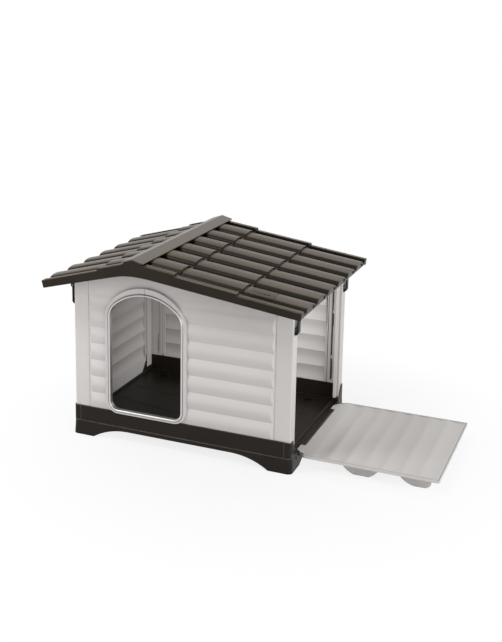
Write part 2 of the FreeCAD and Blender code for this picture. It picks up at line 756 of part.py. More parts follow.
def side_panel():
    """Fold-down side panel, drawn open: boards, lip, ears and leg rails."""
    body = new_body("side_panel")
    axis_x, axis_z = dim("hinge_x"), dim("hinge_z")
    knuckle = dim("knuckle_radius")
    top, skin = dim("panel_top"), dim("panel_skin")
    lip_foot = top - dim("panel_lip")
    near, far = axis_x + dim("panel_near"), PANEL_END
    half = dim("panel_width") / 2
    cut_x, cut_y = dim("panel_cut_x"), dim("panel_cut_y")
    plan = [
        (near, -half + cut_y), (near + cut_x, -half), (far - 6, -half), (far, -half + 6, 6),
        (far, half - 6), (far - 6, half, 6), (near + cut_x, half), (near, half - cut_y),
    ]
    inner = [
        (near + 4, -half + cut_y + 2), (near + cut_x + 2, -half + 4), (far - 4, -half + 4),
        (far - 4, half - 4), (near + cut_x + 2, half - 4), (near + 4, half - cut_y - 2),
    ]
    pad(body, "plate", "XY", lip_foot, top, plan)
    pocket(body, "back_hollow", "XY", lip_foot, top - skin, inner)
    pitch, crown = dim("board_pitch"), dim("board_crown") - 2
    start = far - 6 - pitch * 7
    radius = (pitch * pitch / 4 + crown * crown) / (2 * crown)
    board = [
        (start, top - skin), (start + pitch, top - skin, radius), (start + pitch, top - skin + 1),
        (start, top - skin + 1),
    ]
    board_pad = pad(body, "board", "XZ", -half + 30, half - 30, board)
    repeat(body, "boards", [board_pad], "X", pitch, 7)
    dish_cut = pocket(body, "dish", "XZ", -half + 30, half - 30,
                      [(start + pitch, top), (start, top, -radius)])
    repeat(body, "dishes", [dish_cut], "X", pitch, 7)
    ear_outer, ear_inner = -HALF_DEPTH + dim("ear_inset"), -HALF_DEPTH + dim("ear_end")
    ear = [
        (near + 6, lip_foot), (near + 8, top), (axis_x, axis_z + knuckle),
        (axis_x - knuckle, axis_z, knuckle), (axis_x, axis_z - knuckle, knuckle),
    ]
    ear_pad = pad(body, "ear", "XZ", ear_outer, ear_inner, ear)
    slant = [
        (near - 24, -half), (near, -half), (near, -half + cut_y), (near - 24, -half + cut_y + cut_y * 24 / cut_x),
    ]
    ear_slant = pocket(body, "ear_slant", "XY", axis_z - 12, top + 1, slant)
    bore = pocket(body, "ear_bore", "XZ", ear_outer - 1, ear_inner + 1,
                  ("circle", axis_x, axis_z, dim("hinge_pin_radius") + 0.06))
    leg_face = -half + dim("leg_inset")
    foot_one, foot_two = (sized(941), sized(989)), (sized(1128), sized(1162))
    shoulder = 26
    leg = [
        (880, lip_foot + 5), (880, 34), (905, 24, -30), (foot_one[0], 0, 80),
        (foot_one[1], 0), (1014, 20, 60), (1050, 30, -60), (1085, 24, -60), (foot_two[0], 0, 80),
        (foot_two[1], 0), (1180, 11, 25), (1186, 34), (1192, lip_foot + 5),
    ]
    leg_pad = pad(body, "leg", "XZ", leg_face, leg_face + dim("leg_skin"), leg)
    mirror_depth(body, "back_ear", [ear_pad, ear_slant, bore, leg_pad])
    return body


def threshold_bar():
    """Flat-topped bar along the hinge line between the ears of the panel."""
    body = new_body("threshold_bar")
    axis_x, axis_z, knuckle = dim("hinge_x"), dim("hinge_z"), dim("knuckle_radius")
    half = HALF_DEPTH - dim("ear_end") - 0.5
    seat = axis_z - knuckle - 0.6
    low, high, top, edge = WIDTH - 11.5, WIDTH + 7, dim("panel_top"), sized(2.5)
    profile = [
        (high, seat), (high, top - edge), (high - edge, top, edge), (low + edge, top), (low, top - edge, edge),
        (low, seat),
    ]
    pad(body, "bar", "XZ", -half, half, profile)
    hole = ("circle", axis_x, axis_z, dim("hinge_pin_radius") + 0.05)
    front = pocket(body, "pin_hole", "XZ", -half - 1, -half + 11, hole)
    mirror_depth(body, "back_pin_hole", [front])
    return body


def hinge_pin(label, end):
    """Pivot pin of the side panel, from the base's knuckle into the bar."""
    body = new_body(label)
    outer, inner = HALF_DEPTH - 39, HALF_DEPTH - dim("ear_end") - 10
    low, high = (-outer, -inner) if end < 0 else (inner, outer)
    pad(body, "shank", "XZ", low, high,
        ("circle", dim("hinge_x"), dim("hinge_z"), dim("hinge_pin_radius")))
    return body


def drain_plug(label, drain_x):
    """Round plug with a skirt and a finger tab, in the floor."""
    body = new_body(label)
    drain_y = HALF_DEPTH - 61
    floor, radius = dim("floor_height"), dim("drain_radius")
    pad(body, "disc", "XY", floor - 1.9, floor + 0.6, many_sided(drain_x, drain_y, radius, 20))
    pad(body, "plug", "XY", floor - 8, floor - 1.9, many_sided(drain_x, drain_y, radius - 5.3, 12))
    pad(body, "tab", "XY", floor + 0.5, floor + 4,
        rectangle(drain_x - 9, drain_y - 1.5, drain_x + 9, drain_y + 1.5))
    return body


def crown_end(offset):
    """Where the crown of a barrel passes into its shoulder, as the distance
    from the middle and the height, on a line offset outward."""
    radius, half = dim("tile_crown_radius"), dim("tile_crown_half")
    level = root(radius * radius - half * half) / radius
    return (radius + offset) * half / radius, (radius + offset) * level - radius


def shoulder_centre():
    """Centre of the arc of a shoulder, from the middle of the barrel."""
    half, height = crown_end(-dim("tile_shoulder_radius"))
    return half, height


def shoulder_point(degrees, offset):
    """Point of a shoulder's arc at an angle from upright."""
    middle, height = shoulder_centre()
    radius = dim("tile_shoulder_radius") + offset
    turn = math.radians(degrees)
    return middle + radius * math.sin(turn), height + radius * math.cos(turn)


def tile_outline(bottom=None):
    """Section across the slope in Y and height over the crests: barrels,
    valleys and rake rails. With a bottom it is closed by a line there."""
    edge = dim("roof_depth") / 2 - 2
    height, skin = dim("tile_height"), dim("roof_skin")
    pitch, half = dim("tile_pitch"), dim("tile_half")
    crown_x, crown_z = crown_end(sized(0))
    shoulder = [shoulder_point(degrees, sized(0)) for degrees in (75, 54, 33)]
    rail = edge - dim("rail_width")
    count = 6
    middles = [pitch * (index - (count - 1) / 2) for index in range(count)]
    lower = -height - skin if bottom is None else bottom
    steps = [(-edge, lower)]
    if bottom is None:
        for middle in middles:
            steps += [(middle - 37, lower), (middle - 35, -13), (middle - 28, -8)]
            steps += [(middle + 28, -8), (middle + 35, -13), (middle + 37, lower)]
    steps.append((edge, lower))
    steps += [(edge, -6), (rail, -3), (rail - 3, -height)]
    for middle in reversed(middles):
        steps.append((middle + half, -height))
        steps += [(middle + point[0], point[1]) for point in shoulder]
        steps.append((middle + crown_x, crown_z))
        steps.append((middle - crown_x, crown_z, dim("tile_crown_radius")))
        steps += [(middle - point[0], point[1]) for point in reversed(shoulder)]
        steps.append((middle - half, -height))
    steps += [(-rail + 3, -height), (-rail, -3), (-edge, -6)]
    return steps


def eave(side):
    """Place of the tile crests at the eave, in X and Z."""
    if side > 0:
        return WIDTH + dim("eave_reach"), dim("eave_crest")
    return -dim("eave_reach_left"), dim("eave_crest_left")


def eave_drop(side):
    """Depth of the fascia below the crests at the eave."""
    return eave(side)[1] - dim("eave_foot" if side > 0 else "eave_foot_left")


def cap_edge(side):
    """Lower edge of the underside of the ridge cap, in X and Z."""
    x = RIDGE + dim("cap_half") * side
    return x, crest(x, side) + dim("course_step") * (2 if side > 0 else 1) + 0.3


def fascia_outline(side, joint):
    """Rake fascia of one roof half in X and Z, with its share of the arch."""
    foot_x, foot_z = on_slope(eave(side), 0, eave_drop(side), side)
    finish_x = RIDGE + joint * side
    arch_x, arch_top, arch_run = RIDGE + side * 62, sized(592.5), 62 - joint
    slope = sized(0.131 if side > 0 else 0.253)
    arch_radius = arch_run / math.sin(math.atan(slope.value))
    arch_drop = arch_radius * (1 - math.cos(math.atan(slope.value)))
    steps = [(foot_x, foot_z), (arch_x, arch_top - arch_drop), (finish_x, arch_top, -arch_radius)]
    courses = 3 if side > 0 else 2
    lift = dim("course_step")
    top = []
    for index in range(courses):
        eave_x, eave_z = eave(side)
        start_x = eave_x - dim("course_run") * index * side
        start_z = eave_z + (course_rise(side) + lift) * index - 5
        run = dim("course_run") if index < courses - 1 else (start_x - finish_x) * side
        if index == 0:
            top.append(on_slope(eave(side), 0, 5, side))
        else:
            top.append((start_x, start_z))
        top.append((start_x - run * side, start_z + course_rise(side) * run / dim("course_run")))
    top[-1] = (RIDGE + 34 * side, top[-1][1] - 34 * course_rise(side) / dim("course_run"))
    cap_x, cap_z = cap_edge(side)
    cap_drop = (dim("cap_crease") - dim("cap_skin") - cap_z) / ((cap_x - RIDGE) * side)
    under_cap = dim("cap_crease") - dim("cap_skin") - 0.6
    top += [(RIDGE + 30 * side, under_cap - cap_drop * 30), (finish_x, under_cap - cap_drop * joint)]
    steps += top[::-1]
    return steps if side < 0 else backward(steps)


def vent_seat(body):
    """Recess and window of the roof vent."""
    start, length, gap = dim("vent_start"), dim("vent_length"), dim("vent_gap")
    recess = barrel_band(-dim("vent_skin") - gap, sized(1), 78, 28.5)
    cut_barrel(body, "vent_recess", start + gap, length + gap * 2, recess)
    window = barrel_band(sized(-14), -dim("vent_skin") - gap + 0.1, 66, 22)
    cut_barrel(body, "vent_window", start - 6, length - 12, window)


def roof_half(label, side):
    """One half of the roof: courses of barrel tiles, risers and fascias."""
    body = new_body(label)
    course, lift, length = dim("course_run"), dim("course_step"), slope_length(side)
    depth = dim("tile_height") + dim("roof_skin")
    courses = 3 if side > 0 else 2
    riser, inset = sized(6), dim("tile_inset")
    edge = dim("roof_depth") / 2 - 2
    fascia = pad(body, "fascia", "XZ", -edge, -edge + dim("fascia_skin"), fascia_outline(side, 0.2))
    mirror_depth(body, "back_fascia", [fascia])

    pivot_x = WIDTH + dim("clip_reach") if side > 0 else -dim("clip_reach")
    pivot_z = dim("clip_height")
    skin_height = crest(pivot_x, side)
    middle = -HALF_DEPTH + 19
    plate = pad(body, "clip_plate", "XY", skin_height - 15, skin_height - 7,
                rectangle(pivot_x - 9, middle - 43, pivot_x + 9, middle + 17))
    lugs = pad(body, "clip_lugs", "XZ", middle - 14, middle + 14,
               [(pivot_x - 7, skin_height - 12), (pivot_x - 7, pivot_z), (pivot_x + 7, pivot_z, 7),
                (pivot_x + 7, skin_height - 12)])
    gap = pocket(body, "clip_gap", "XZ", middle - 10.6, middle + 10.6,
                 rectangle(pivot_x - 8, pivot_z - 9, pivot_x + 8, skin_height - 15.1))
    bore = pocket(body, "clip_bore", "XZ", middle - 15, middle + 15,
                  ("circle", pivot_x, pivot_z, dim("clip_pin_radius") + 0.02))
    mirror_depth(body, "back_lugs", [plate, lugs, gap, bore])
    for index in range(courses):
        lower = (eave(side)[0] - course * index * side, eave(side)[1] + (course_rise(side) + lift) * index)
        if index < courses - 1:
            run = length + riser
        else:
            to_ridge = (lower[0] - RIDGE) * side * length / course
            run = to_ridge - depth * course_rise(side) / course - 0.4
        bottom = -(lift + depth) + 2 if index else -eave_drop(side)
        upper = on_slope(lower, -run, 0, side)
        riser_place = on_slope(lower, -riser - inset if side > 0 else -inset, 0, side)
        tipped_pad(body, f"course_{index}", upper if side > 0 else lower, slope_angle(side), run, tile_outline())
        if index == 0 and side > 0:
            vent_seat(body)
        tipped_pad(body, f"riser_{index}", riser_place, slope_angle(side), riser, tile_outline(bottom))
    return body


def barrel_band(low, high, degrees, back):
    """Section of the front barrel between two offsets from its outer face,
    from an angle on the front shoulder to a distance behind the middle."""
    middle = -dim("tile_pitch") * 2.5
    back = sized(back)

    def line(offset):
        radius = dim("tile_crown_radius") + offset
        back_z = root(radius * radius - back * back) - dim("tile_crown_radius")
        crown_x, crown_z = crown_end(offset)
        foot_x, foot_z = shoulder_point(degrees, offset)
        return (middle + back, back_z), (middle - crown_x, crown_z), (middle - foot_x, foot_z)

    upper, lower = line(high), line(low)
    crown, shoulder = dim("tile_crown_radius"), dim("tile_shoulder_radius")
    return [
        upper[0], upper[1] + (crown + high,), upper[2] + (shoulder + high,),
        lower[2], lower[1] + (-shoulder - low,), lower[0] + (-crown - low,),
    ]


def over_barrel(body, name, start, length, *outlines):
    """Add a prism along the right slope from a distance up from the eave."""
    place = on_slope(eave(1), -sized(start), 0, 1)
    return tipped_pad(body, name, place, slope_angle(1), sized(length), *outlines)


def cut_barrel(body, name, start, length, *outlines):
    """Cut a prism along the right slope from a distance up from the eave."""
    start, length = sized(start), sized(length)
    place = on_slope(eave(1), length - start, 0, 1)
    sketch = tipped_sketch(body, name, place, slope_angle(1), outlines)
    feature = body.newObject("PartDesign::Pocket", name)
    feature.Profile = sketch
    feature.Length = length.value
    bind(feature, "Length", length)
    return feature


def shutter_line():
    """Turning line of the shutter across the slope: the front shoulder's centre."""
    half, height = shoulder_centre()
    return -dim("tile_pitch") * 2.5 - half, height


def shutter_sector(low, high, first, last):
    """Ring sector about the turning line, between two angles from upright
    that count toward the front."""
    middle_y, middle_z = shutter_line()

    def point(radius, degrees):
        turn = math.radians(degrees)
        return middle_y - radius * math.sin(turn), middle_z + radius * math.cos(turn)

    low, high = sized(low), sized(high)
    return [
        point(high, first), point(high, last) + (high,), point(low, last), point(low, first) + (-low,),
    ]


def vent_grille():
    """Slotted cover of the roof vent, with the bearings of its shutter."""
    body = new_body("vent_grille")
    start, length, skin = dim("vent_start"), dim("vent_length"), dim("vent_skin")
    over_barrel(body, "shell", start, length, barrel_band(-skin, sized(0), 75, 28))
    middle_y, middle_z = shutter_line()
    arm = [
        (middle_y - 3, middle_z - 3), (middle_y + 3, middle_z - 3), (middle_y + 9, -skin + 0.2),
        (middle_y - 2, -skin - 1.6),
    ]
    stud = ("circle", middle_y, middle_z, 2)
    over_barrel(body, "upper_arm", start - 6.5, 2, arm)
    over_barrel(body, "lower_arm", start - length + 8.5, 2, arm)
    over_barrel(body, "upper_stud", start - 6.5, 5, stud)
    over_barrel(body, "lower_stud", start - length + 11.5, 5, stud)
    barrel = -dim("tile_pitch") * 2.5
    pocket(body, "crown_slot", "XY", 540, 600,
           rectangle(WIDTH - 127, barrel - 20.3, WIDTH - 72, barrel - 15.7))
    cut_barrel(body, "shoulder_slot", start - 17, length - 27, shutter_sector(13, 18.5, 45, 60))
    return body


def vent_shutter():
    """Curved leaf that turns on the studs of the cover, with a finger rib."""
    body = new_body("vent_shutter")
    start, length = dim("vent_start") - 9, dim("vent_length") - 18
    outer = dim("tile_shoulder_radius") - dim("vent_skin") - 0.6
    inner = outer - dim("shutter_skin")
    over_barrel(body, "leaf", start, length, shutter_sector(inner, outer, -38, 63))
    middle_y, middle_z = shutter_line()
    web = [
        (middle_y - 4, middle_z), (middle_y + 4, middle_z), (middle_y + 4, middle_z + inner - 0.2),
        (middle_y - 4, middle_z + inner - 0.2),
    ]
    hub = ("circle", middle_y, middle_z, 4)
    bore = ("circle", middle_y, middle_z, 2.05)
    for name, place in (("upper", start), ("lower", start - length + 2)):
        over_barrel(body, f"{name}_web", place, 2, web)
        over_barrel(body, f"{name}_hub", place, 2, hub)
        cut_barrel(body, f"{name}_bore", place + 1, 4, bore)
    cut_barrel(body, "slot", start - 4, length - 8, shutter_sector(inner - 1, outer + 1, -2, 12))
    over_barrel(body, "finger_rib", start - length / 2 + 6, 12, shutter_sector(7, inner + 0.3, 28, 36))
    return body


def ridge_cap():
    """Creased cap over the joint of the roof halves."""
    body = new_body("ridge_cap")
    half = dim("roof_depth") / 2
    left_x, left_z = cap_edge(-1)
    right_x, right_z = cap_edge(1)
    crease, skin = dim("cap_crease"), dim("cap_skin")
    chevron = [
        (left_x, left_z), (RIDGE, crease - skin), (right_x, right_z),
        (right_x, right_z + skin - 0.8), (RIDGE, crease), (left_x, left_z + skin - 0.8),
    ]
    pad(body, "chevron", "XZ", -half, half, chevron)
    return body


def roof_clip(label, side, end):
    """Hook that hangs from the eave and holds the roof to a corner post."""
    body = new_body(label)
    pivot_x = WIDTH + dim("clip_reach") if side > 0 else -dim("clip_reach")
    pivot_z = dim("clip_height")
    middle = (HALF_DEPTH - 19) * end
    half = dim("clip_width") / 2
    hook = [
        (4, -56), (4, -4.472), (6, 0, 6), (0, 6, 6), (-6, 0, 6), (-1, -5.916, 6), (-1, -55), (-3.5, -57.5),
        (-6.5, -57.5), (-9, -55), (-9, -48), (-10.5, -46), (-12.5, -46), (-14, -48), (-14, -57), (-9, -63),
        (-1, -63),
    ]
    steps = [(pivot_x + sized(step[0]) * side, pivot_z + step[1]) + tuple(step[2:]) for step in hook]
    if side < 0:
        steps = backward(steps)
    pad(body, "hook", "XZ", middle - half, middle + half, steps)
    pocket(body, "eye", "XZ", middle - half - 1, middle + half + 1,
           ("circle", pivot_x, pivot_z, dim("clip_pin_radius") + 0.06))
    return body


def clip_pin(label, side, end):
    """Pivot pin of a roof clip, held by the lugs of the roof."""
    body = new_body(label)
    pivot_x = WIDTH + dim("clip_reach") if side > 0 else -dim("clip_reach")
    middle = (HALF_DEPTH - 19) * end
    pad(body, "shank", "XZ", middle - 14, middle + 14,
        ("circle", pivot_x, dim("clip_height"), dim("clip_pin_radius")))
    return body


base()
wall("front_wall", -1, True)
wall("back_wall", 1, False)
left_wall()
side_panel()
for post_side, side_word in ((-1, "left"), (1, "right")):
    for post_end, end_word in ((-1, "front"), (1, "back")):
        post(f"post_{end_word}_{side_word}", post_side, post_end)
        roof_clip(f"clip_{end_word}_{side_word}", post_side, post_end)
        clip_pin(f"clip_pin_{end_word}_{side_word}", post_side, post_end)
door_trim()
threshold_bar()
hinge_pin("hinge_pin_front", -1)
hinge_pin("hinge_pin_back", 1)
drain_plug("drain_plug_left", sized(88))
drain_plug("drain_plug_right", WIDTH - 102)
roof_half("roof_left", -1)
roof_half("roof_right", 1)
ridge_cap()
vent_grille()
vent_shutter()

document.recompute()

failed = [item.Label for item in document.Objects if "Invalid" in item.State or "Error" in item.State]
for body in bodies:
    if body.Shape.isNull() or not body.Shape.isValid():
        failed.append(body.Label)
if failed:
    raise RuntimeError("failed objects: " + ", ".join(failed))

os.makedirs("parts", exist_ok=True)
for body in bodies:
    body.Shape.exportStep(f"parts/{body.Label}.step")
    box = body.Shape.BoundBox
    print(f"{body.Label:24s} solids {len(body.Shape.Solids)} volume {body.Shape.Volume / 1000:9.1f} cm3 "
          f"X {box.XMin:7.1f} {box.XMax:7.1f} Y {box.YMin:7.1f} {box.YMax:7.1f} Z {box.ZMin:6.1f} {box.ZMax:6.1f}")
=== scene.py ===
"""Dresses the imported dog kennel: moulded plastic finishes, floor, light and camera.

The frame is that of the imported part: X from the closed left wall to the open
side panel, Y from the doorway to the back, Z up, in metres. The small added
pieces are laid out in millimetres, and turned to metres as they are made.
"""

import json
import math

import bmesh
import bpy
from mathutils import Matrix, Vector


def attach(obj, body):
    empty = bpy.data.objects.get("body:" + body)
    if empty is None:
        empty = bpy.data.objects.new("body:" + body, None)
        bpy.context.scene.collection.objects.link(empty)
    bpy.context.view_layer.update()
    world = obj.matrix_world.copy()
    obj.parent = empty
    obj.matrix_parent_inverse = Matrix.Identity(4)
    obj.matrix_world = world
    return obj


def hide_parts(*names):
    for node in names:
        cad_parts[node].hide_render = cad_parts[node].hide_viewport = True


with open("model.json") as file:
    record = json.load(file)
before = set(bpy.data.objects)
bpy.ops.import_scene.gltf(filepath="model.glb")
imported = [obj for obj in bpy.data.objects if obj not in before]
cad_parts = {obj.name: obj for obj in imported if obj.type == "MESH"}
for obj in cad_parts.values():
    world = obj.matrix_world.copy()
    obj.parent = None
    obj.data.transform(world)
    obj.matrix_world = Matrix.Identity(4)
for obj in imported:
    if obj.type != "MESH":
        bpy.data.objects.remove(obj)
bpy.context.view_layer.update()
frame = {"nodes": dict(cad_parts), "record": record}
nodes = frame["nodes"]

body_of = {}
for body, members in frame["record"]["behaviour"]["bodies"].items():
    for member in members:
        body_of[member] = body

CORNERS = ["front_left", "front_right", "back_left", "back_right"]

# Colours as linear light.
WALL_COLOUR = (0.66, 0.63, 0.615)
PANEL_COLOUR = (0.60, 0.575, 0.555)
ROOF_COLOUR = (0.0275, 0.0205, 0.0142)
RIDGE_COLOUR = (0.118, 0.096, 0.074)
BASE_COLOUR = (0.0185, 0.0148, 0.0115)
CLIP_COLOUR = (0.006, 0.005, 0.0045)
SHADE_AND_JOINT_COLOUR = (0.095, 0.088, 0.082)
TRIM_COLOUR = (0.62, 0.61, 0.60)
PIN_COLOUR = (0.45, 0.45, 0.46)
PLAIN_WHITE = (1, 1, 1, 1)

# Widths of the rounded edges, in metres.
ROOF_EDGE = 0.0012
BASE_EDGE = 0.0014
WALL_EDGE = 0.0009
SMALL_EDGE = 0.0005
VENT_EDGE = 0.0001

# Turns of the surface, in degrees, from which an edge is shaded sharp or rounded.
SHARP_TURN = 32
ROUNDED_TURN = 40
WELD_DISTANCE = 2e-6

# How far the posts' outer faces stand from the origin, and the thickness of a
# post's leg, in millimetres.
RIGHT_FACE = 190
LEFT_FACE = 570
END_FACE = 277
POST_LEG = 10


def new_material(name):
    """A material with an empty node tree, its Principled shader and output."""
    material = bpy.data.materials.new(name)
    material.use_nodes = True
    tree = material.node_tree
    tree.nodes.clear()
    shader = tree.nodes.new("ShaderNodeBsdfPrincipled")
    output = tree.nodes.new("ShaderNodeOutputMaterial")
    tree.links.new(shader.outputs["BSDF"], output.inputs["Surface"])
    return material, tree, shader


def find_node(tree, kind):
    """The tree's first node of a kind."""
    return next(node for node in tree.nodes if node.type == kind)


def noise(tree, coordinates, scale, detail=3.0, roughness=0.5):
    """A noise texture in object space."""
    texture = tree.nodes.new("ShaderNodeTexNoise")
    texture.inputs["Scale"].default_value = scale
    texture.inputs["Detail"].default_value = detail
    texture.inputs["Roughness"].default_value = roughness
    tree.links.new(coordinates.outputs["Object"], texture.inputs["Vector"])
    return texture.outputs["Fac"]


def map_range(tree, value, low=0.0, high=1.0, to_low=0.0, to_high=1.0):
    """A value taken from one range to another."""
    node = tree.nodes.new("ShaderNodeMapRange")
    node.inputs["From Min"].default_value = low
    node.inputs["From Max"].default_value = high
    node.inputs["To Min"].default_value = to_low
    node.inputs["To Max"].default_value = to_high
    tree.links.new(value, node.inputs["Value"])
    return node


def combine(tree, operation, first, second):
    """Two values joined by a math operation."""
    node = tree.nodes.new("ShaderNodeMath")
    node.operation = operation
    tree.links.new(first, node.inputs[0])
    tree.links.new(second, node.inputs[1])
    return node.outputs["Value"]


def scale_colour(tree, shader, colour, factor):
    """Gives the shader a colour multiplied by a factor."""
    node = tree.nodes.new("ShaderNodeVectorMath")
    node.operation = "SCALE"
    tree.links.new(colour, node.inputs[0])
    tree.links.new(factor, node.inputs["Scale"])
    tree.links.new(node.outputs["Vector"], shader.inputs["Base Color"])


def uneven_gloss(tree, shader, value, roughness, spread):
    """Lets the shader's roughness wander round a mean."""
    gloss = map_range(tree, value, to_low=roughness - spread, to_high=roughness + spread)
    tree.links.new(gloss.outputs["Result"], shader.inputs["Roughness"])


def fine_relief(tree, shader, height, strength, distance):
    """Gives the shader a bump."""
    bump = tree.nodes.new("ShaderNodeBump")
    bump.inputs["Strength"].default_value = strength
    bump.inputs["Distance"].default_value = distance
    tree.links.new(height, bump.inputs["Height"])
    tree.links.new(bump.outputs["Normal"], shader.inputs["Normal"])


def moulded_plastic(name, colour, roughness, grain, mottle, specular):
    """Moulded plastic: fine grain in the bump, faint mottling, uneven gloss."""
    material, tree, shader = new_material(name)
    coordinates = tree.nodes.new("ShaderNodeTexCoord")
    broad = noise(tree, coordinates, scale=6.0)
    fine = noise(tree, coordinates, scale=900.0, detail=2.0)

    ramp = tree.nodes.new("ShaderNodeValToRGB")
    darker, lighter = ramp.color_ramp.elements
    darker.position, lighter.position = 0.3, 0.7
    darker.color = (*[channel * (1 - mottle) for channel in colour], 1)
    lighter.color = (*[min(channel * (1 + mottle), 1) for channel in colour], 1)
    tree.links.new(broad, ramp.inputs["Fac"])
    tree.links.new(ramp.outputs["Color"], shader.inputs["Base Color"])

    uneven_gloss(tree, shader, broad, roughness, spread=0.06)
    fine_relief(tree, shader, fine, strength=grain, distance=0.0003)
    shader.inputs["Specular IOR Level"].default_value = specular
    return material


def rolled_metal(name, colour, roughness):
    """Bright rolled metal with faint lines in its gloss and relief."""
    material, tree, shader = new_material(name)
    coordinates = tree.nodes.new("ShaderNodeTexCoord")
    lines = noise(tree, coordinates, scale=350.0, detail=4.0)
    shader.inputs["Base Color"].default_value = (*colour, 1)
    shader.inputs["Metallic"].default_value = 1.0
    uneven_gloss(tree, shader, lines, roughness, spread=0.05)
    fine_relief(tree, shader, lines, strength=0.015, distance=0.0002)
    return material


def worn_plastic_with_painted_light(name, colour, roughness, grain, mottle, specular,
                 edge_colour, edge_width, hollow_reach, hollow_share):
    """Moulded plastic whose edges are painted lighter, partly as wear and partly as a
    painted highlight, and whose hollows get painted shade.

    Hollows are where other walls stand within the reach. There the colour goes
    down to a share of itself, as painted shade.
    """
    material = moulded_plastic(name, colour, roughness, grain, mottle, specular)
    tree = material.node_tree
    shader = find_node(tree, "BSDF_PRINCIPLED")
    plain = shader.inputs["Base Color"].links[0].from_socket

    # How far the rounded normal turns from the flat one tells an edge.
    rounded = tree.nodes.new("ShaderNodeBevel")
    rounded.samples = 6
    rounded.inputs["Radius"].default_value = edge_width
    flat = tree.nodes.new("ShaderNodeNewGeometry")
    turned = tree.nodes.new("ShaderNodeVectorMath")
    turned.operation = "DOT_PRODUCT"
    tree.links.new(rounded.outputs["Normal"], turned.inputs[0])
    tree.links.new(flat.outputs["Normal"], turned.inputs[1])
    # Edge colour: partly edge wear and partly a painted highlight along the edges.
    edge_wear_and_highlight = map_range(tree, turned.outputs["Value"], low=0.965, high=0.78)
    patches = noise(tree, find_node(tree, "TEX_COORD"), scale=38.0, detail=4.0, roughness=0.65)
    patchy_edge_wear_and_highlight = combine(tree, "MULTIPLY", edge_wear_and_highlight.outputs["Result"], patches)

    mix = tree.nodes.new("ShaderNodeMix")
    mix.data_type = "RGBA"
    plain_input, edge_input = [socket for socket in mix.inputs if socket.type == "RGBA"]
    tree.links.new(patchy_edge_wear_and_highlight, mix.inputs[0])
    tree.links.new(plain, plain_input)
    edge_input.default_value = (*edge_colour, 1)
    edge_worn_and_highlit = next(socket for socket in mix.outputs if socket.type == "RGBA")

    # Painted shade: the colour goes darker where other surfaces stand near, in hollows and
    # between parts.
    hollows = tree.nodes.new("ShaderNodeAmbientOcclusion")
    hollows.samples = 8
    hollows.inputs["Distance"].default_value = hollow_reach
    painted_shade = map_range(tree, hollows.outputs["AO"], low=0.25, high=0.92, to_low=hollow_share)
    scale_colour(tree, shader, edge_worn_and_highlit, painted_shade.outputs["Result"])
    return material


def paint_light_from_above(material, steep, level, steep_share, level_share):
    """Faces that look up are painted paler than steep ones: a painted highlight on tops,
    painted shade on steep faces.

    steep and level are values of the normal's Z. Each share multiplies the
    colour at its value and beyond.
    """
    tree = material.node_tree
    shader = find_node(tree, "BSDF_PRINCIPLED")
    before = shader.inputs["Base Color"].links[0].from_socket
    facing = tree.nodes.new("ShaderNodeNewGeometry")
    parts = tree.nodes.new("ShaderNodeSeparateXYZ")
    tree.links.new(facing.outputs["Normal"], parts.inputs["Vector"])
    share = map_range(tree, parts.outputs["Z"], steep, level, steep_share, level_share)
    share.interpolation_type = "SMOOTHSTEP"
    scale_colour(tree, shader, before, share.outputs["Result"])


def shell(node, material, edge, reshape=None):
    """The node's piece with its moulded edges rounded, in place of the plain solid."""
    mesh = nodes[node].data.copy()
    mesh.name = node + "_shell"
    work = bmesh.new()
    work.from_mesh(mesh)
    bmesh.ops.remove_doubles(work, verts=work.verts, dist=WELD_DISTANCE)
    if reshape:
        reshape(work)
    for face in work.faces:
        face.smooth = True
    work.to_mesh(mesh)
    work.free()
    if "custom_normal" in mesh.attributes:
        mesh.attributes.remove(mesh.attributes["custom_normal"])
    mesh.set_sharp_from_angle(angle=math.radians(SHARP_TURN))
    mesh.materials.clear()
    mesh.materials.append(material)
    piece = bpy.data.objects.new(node + "_shell", mesh)
    bpy.context.scene.collection.objects.link(piece)
    rounding = piece.modifiers.new("rounding", "BEVEL")
    rounding.width = edge
    rounding.segments = 2
    rounding.limit_method = "ANGLE"
    rounding.angle_limit = math.radians(ROUNDED_TURN)
    rounding.use_clamp_overlap = False
    rounding.harden_normals = True
    rounding.miter_outer = "MITER_ARC"
    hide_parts(node)
    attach(piece, body_of[node])


def soften_boards(work):
    """The panel's boards dish less and run nearly to its edges."""
    hinge_side, board_foot, top = 0.2, 0.0469, 0.050
    dish_end, new_end, tolerance = 0.206, 0.2275, 0.0005
    depth_kept = 0.85
    for vertex in work.verts:
        place = vertex.co
        on_boards = place.x > hinge_side and place.z > board_foot
        if on_boards and abs(abs(place.y) - dish_end) < tolerance:
            place.y = math.copysign(new_end, place.y)
        if on_boards and place.z < top:
            place.z = top - (top - place.z) * depth_kept


def new_piece(name, points, faces, material, body, smooth=False):
    """A piece from its points in millimetres and its faces, riding on a body."""
    mesh = bpy.data.meshes.new(name)
    mesh.from_pydata([[value / 1000 for value in point] for point in points], [], faces)
    mesh.materials.append(material)
    mesh.polygons.foreach_set("use_smooth", [smooth] * len(mesh.polygons))
    mesh.update()
    piece = bpy.data.objects.new(name, mesh)
    bpy.context.scene.collection.objects.link(piece)
    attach(piece, body)


def prism_faces(count, mirrored=False):
    """Faces of a prism whose lower ring of points comes before its upper ring."""
    sides = [(index, (index + 1) % count, count + (index + 1) % count, count + index)
             for index in range(count)]
    faces = sides + [tuple(range(count))[::-1], tuple(range(count, 2 * count))]
    return [face[::-1] for face in faces] if mirrored else faces


def block(name, low, high, material):
    """Plain box between two corners."""
    plan = [(low[0], low[1]), (high[0], low[1]), (high[0], high[1]), (low[0], high[1])]
    points = [(x, y, z) for z in (low[2], high[2]) for x, y in plan]
    new_piece(name, points, prism_faces(4), material, "kennel")


